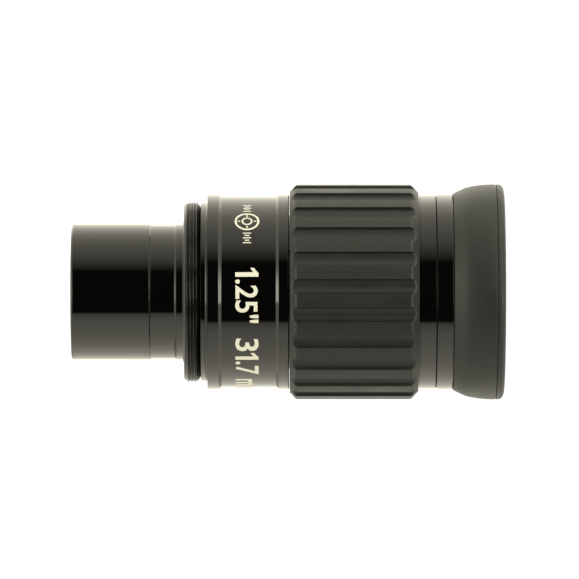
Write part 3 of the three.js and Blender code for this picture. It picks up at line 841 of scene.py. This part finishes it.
# The eyecup's outline, from the band to the rim.
outer = [
    (22.74, 88.58), (22.82, 88.64), (22.92, 88.80), (23.03, 89.02), (23.14, 89.25), (23.26, 89.48), (23.48, 89.93),
    (23.70, 90.38), (23.91, 90.83), (24.10, 91.3), (24.26, 91.78), (24.38, 92.25), (24.48, 92.7), (24.57, 93.2),
    (24.69, 93.9), (24.79, 94.6), (24.87, 95.4), (24.93, 96.2), (24.97, 97.0), (24.98, 97.7), (24.97, 98.2),
]
groove = [(24.965, 98.42), (24.93, 98.47), (24.80, 98.52), (24.76, 98.56), (24.80, 98.60), (24.94, 98.65), (24.98, 98.70)]
lip = [
    (24.98, 98.9), (24.965, 99.1), (24.93, 99.3), (24.86, 99.5), (24.74, 99.7), (24.55, 99.9), (24.30, 100.08),
    (23.98, 100.24), (23.6, 100.35), (23.2, 100.4),
]
rim = [(22.7, 100.4), (22.3, 100.36), (21.95, 100.26), (21.65, 100.1), (21.4, 99.88), (21.2, 99.6), (21.0, 99.2)]
funnel = [(20.75, 98.6), (20.45, 97.95), (20.1, 97.3), (19.75, 96.75), (19.35, 96.2), (19.05, 95.75), (18.85, 95.3)]
inside = rounded([
    (18.85, 95.3, 0.0), (18.75, 94.9, 0.2), (18.75, 94.1, 0.1), (21.6, 94.1, 0.05), (21.6, 88.45, 0.05), (22.5, 88.50, 0.05),
    (22.74, 88.58, 0.0)])[1:-1]
piece(lathe("rubber_eyecup_fine", outer + groove + lip + rim + funnel + inside, 256, sharp=60), "eyecup", "cup", "rubber_eyecup")

# ======================================================================== stage
floor_me = bpy.data.meshes.new("stage_floor")
S = 0.62
floor_me.from_pydata([(-S, -S, 0), (S, -S, 0), (S, S, 0), (-S, S, 0)], [], [(0, 1, 2, 3)])
floor = bpy.data.objects.new("stage_floor", floor_me)
bpy.context.scene.collection.objects.link(floor)
fm, fnt, fb = new_material("stage_floor")
fb.inputs["Roughness"].default_value = 0.9
fb.inputs["Specular IOR Level"].default_value = 0.0
fb.inputs["Base Color"].default_value = (0.5, 0.5, 0.49, 1)
fb.inputs["Emission Color"].default_value = (1, 1, 1, 1)
fb.inputs["Emission Strength"].default_value = 0.78
floor_me.materials.append(fm)
floor.visible_glossy = False
floor.visible_diffuse = False
floor.visible_transmission = False
floor.visible_shadow = False

# ======================================================================== light
# A studio all round the object: broad pale walls, dark in front of the camera,
# with two soft boxes above and below it.
world = bpy.data.worlds.new("studio")
bpy.context.scene.world = world
world.use_nodes = True
wt = world.node_tree
for n in list(wt.nodes):
    wt.nodes.remove(n)
W = wt.nodes.new
L = wt.links.new


def math_node(op, a, b=None, clamp=False):
    n = W("ShaderNodeMath")
    n.operation = op
    n.use_clamp = clamp
    for i, v in enumerate((a, b)):
        if v is None:
            continue
        if isinstance(v, (int, float)):
            n.inputs[i].default_value = v
        else:
            L(v, n.inputs[i])
    return n.outputs[0]


def smooth_node(value, a, b):
    n = W("ShaderNodeMapRange")
    n.interpolation_type = "SMOOTHSTEP"
    n.inputs["From Min"].default_value = a
    n.inputs["From Max"].default_value = b
    L(value, n.inputs["Value"])
    return n.outputs["Result"]


tc = W("ShaderNodeTexCoord")
sep = W("ShaderNodeSeparateXYZ")
L(tc.outputs["Generated"], sep.inputs[0])
dx, dy, dz = sep.outputs
beta = math_node("ARCTAN2", math_node("MULTIPLY", dx, -1.0), math_node("MULTIPLY", dy, -1.0))
turn = math_node("ADD", math_node("DIVIDE", beta, TAU), 0.5)
ramp = W("ShaderNodeValToRGB")
ramp.color_ramp.interpolation = "LINEAR"
WALL = [
    (-180, 2.1), (-110, 1.8), (-50, 1.3), (-38, 0.8), (-35, 0.03),      # one side wall
    (35, 0.03), (60, 0.9), (100, 1.6), (140, 2.5), (180, 2.1),          # the other
]
TOP = 2.7
els = ramp.color_ramp.elements
els[0].position, els[1].position = 0.0, 1.0
while len(els) < len(WALL):
    els.new(0.5)
for e, (deg, v) in zip(els, WALL):
    e.position = deg / 360 + 0.5
for e, (deg, v) in zip(els, WALL):
    e.color = (v / TOP, v / TOP, v / TOP, 1)
L(turn, ramp.inputs[0])
wall = math_node("MULTIPLY", ramp.outputs[0], TOP)

height = math_node("ABSOLUTE", dz)
box_el = math_node("MULTIPLY", smooth_node(height, math.sin(rad(42)), math.sin(rad(50))),
                   smooth_node(height, math.sin(rad(75)), math.sin(rad(70))))
box_az = math_node("MULTIPLY", smooth_node(beta, rad(-26), rad(-18)), smooth_node(beta, rad(56), rad(6)))
soft_box = math_node("MULTIPLY", math_node("MULTIPLY", box_el, box_az), 4.7)
# The ceiling is dimmer straight above the eye end.
above = smooth_node(dz, math.sin(rad(62)), math.sin(rad(72)))
ceiling = math_node("SUBTRACT", 1.5, math_node("MULTIPLY", above, 1.25))
blend_fac = smooth_node(height, math.sin(rad(24)), math.sin(rad(37)))
# Away from the horizon the wall on one side is dimmer, and a long bank of
# diffused light runs along the other.
low_side = math_node("MULTIPLY", smooth_node(beta, rad(10), rad(-20)), smooth_node(height, math.sin(rad(7)), math.sin(rad(13))))
wall = math_node("MULTIPLY", wall, math_node("SUBTRACT", 1.0, math_node("MULTIPLY", low_side, 0.55)))
bank = math_node("MULTIPLY",
                 math_node("MULTIPLY", smooth_node(height, math.sin(rad(8)), math.sin(rad(15))),
                           smooth_node(height, math.sin(rad(42)), math.sin(rad(34)))),
                 math_node("MULTIPLY", smooth_node(beta, rad(-2), rad(14)), smooth_node(beta, rad(115), rad(70))))
bank = math_node("MULTIPLY", bank, smooth_node(dz, -0.12, 0.12))
base = math_node("ADD", math_node("MULTIPLY", wall, math_node("SUBTRACT", 1.0, blend_fac)),
                 math_node("MULTIPLY", blend_fac, ceiling))
total = math_node("ADD", math_node("ADD", base, soft_box), math_node("MULTIPLY", bank, 2.5))

bg = W("ShaderNodeBackground")
bg.inputs["Color"].default_value = (1.0, 0.965, 0.80, 1)
L(total, bg.inputs["Strength"])
white = W("ShaderNodeBackground")
white.inputs["Color"].default_value = (1, 1, 1, 1)
white.inputs["Strength"].default_value = 1.05
lp = W("ShaderNodeLightPath")
mixer = W("ShaderNodeMixShader")
L(lp.outputs["Is Camera Ray"], mixer.inputs[0])
L(bg.outputs[0], mixer.inputs[1])
L(white.outputs[0], mixer.inputs[2])
out = W("ShaderNodeOutputWorld")
L(mixer.outputs[0], out.inputs["Surface"])

# ======================================================================= camera
cam_data = bpy.data.cameras.new("camera")
cam = bpy.data.objects.new("camera", cam_data)
bpy.context.scene.collection.objects.link(cam)
cam_data.sensor_width = 36.0
cam_data.lens = 508.0
cam_data.clip_start, cam_data.clip_end = 0.2, 20.0
cam.matrix_world = Matrix(((0, -1, 0, -0.00056), (0, 0, -1, -1.9), (1, 0, 0, 0.0506), (0, 0, 0, 1)))
bpy.context.scene.camera = cam
bpy.context.scene.view_settings.view_transform = "Standard"
bpy.context.scene.view_settings.look = "None"

print("faces", sum(COUNT.values()), COUNT)
